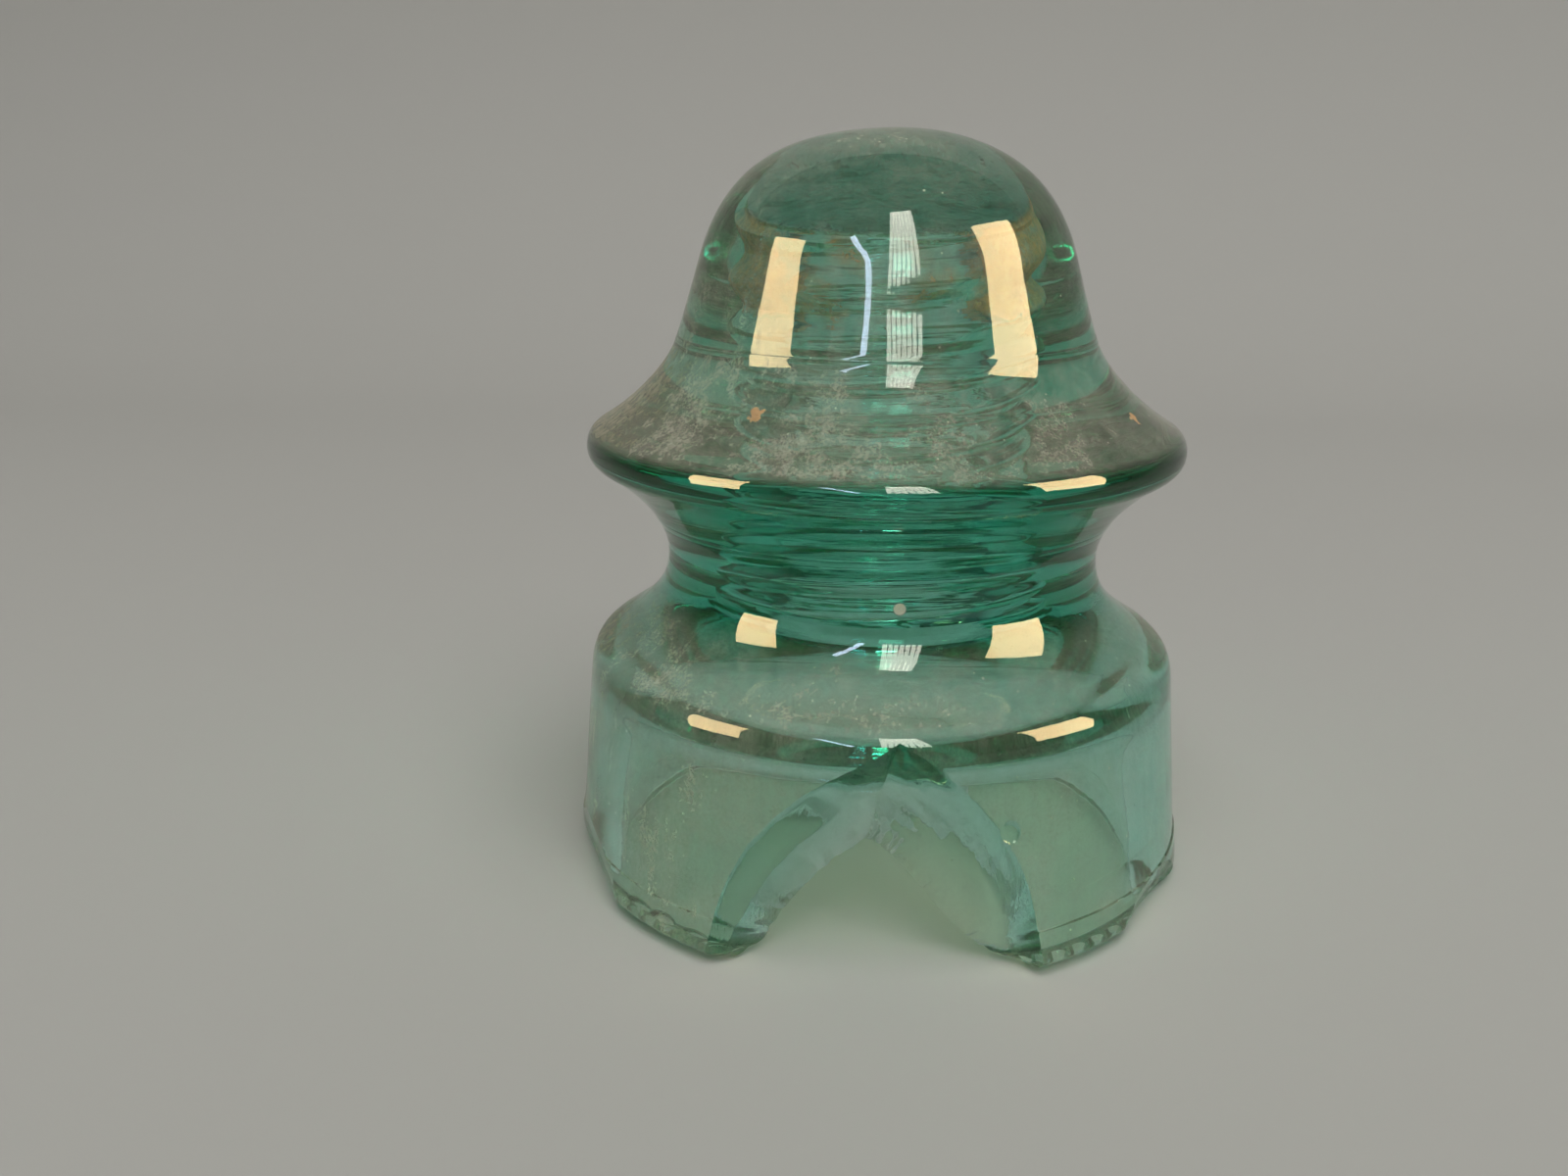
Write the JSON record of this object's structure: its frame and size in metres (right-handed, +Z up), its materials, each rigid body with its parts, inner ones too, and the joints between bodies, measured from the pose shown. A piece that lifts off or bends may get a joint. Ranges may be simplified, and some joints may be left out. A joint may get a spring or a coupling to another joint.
{
  "type": "glass pin-type line insulator",
  "caption": "Bell-shaped pressed-glass pin insulator: threaded blind hole, flared wire ridge and groove, hollow skirt with drip points, and a bite broken from its rim.",
  "frame": {"origin": "on the body's axis, in the plane of the drip points' tips that it stands on", "axes": "+Z up the axis to the crown; -Y out through the middle of the broken bite; +X to the right when the break faces the viewer"},
  "size_m": [0.0822, 0.0797, 0.0943],
  "materials": {
    "aqua_glass": "fire-polished pressed glass, aqua green, dusty, with bare fracture faces"
  },
  "bodies": {
    "root": {"glass_insulator": "aqua_glass"}
  },
  "joints": []
}
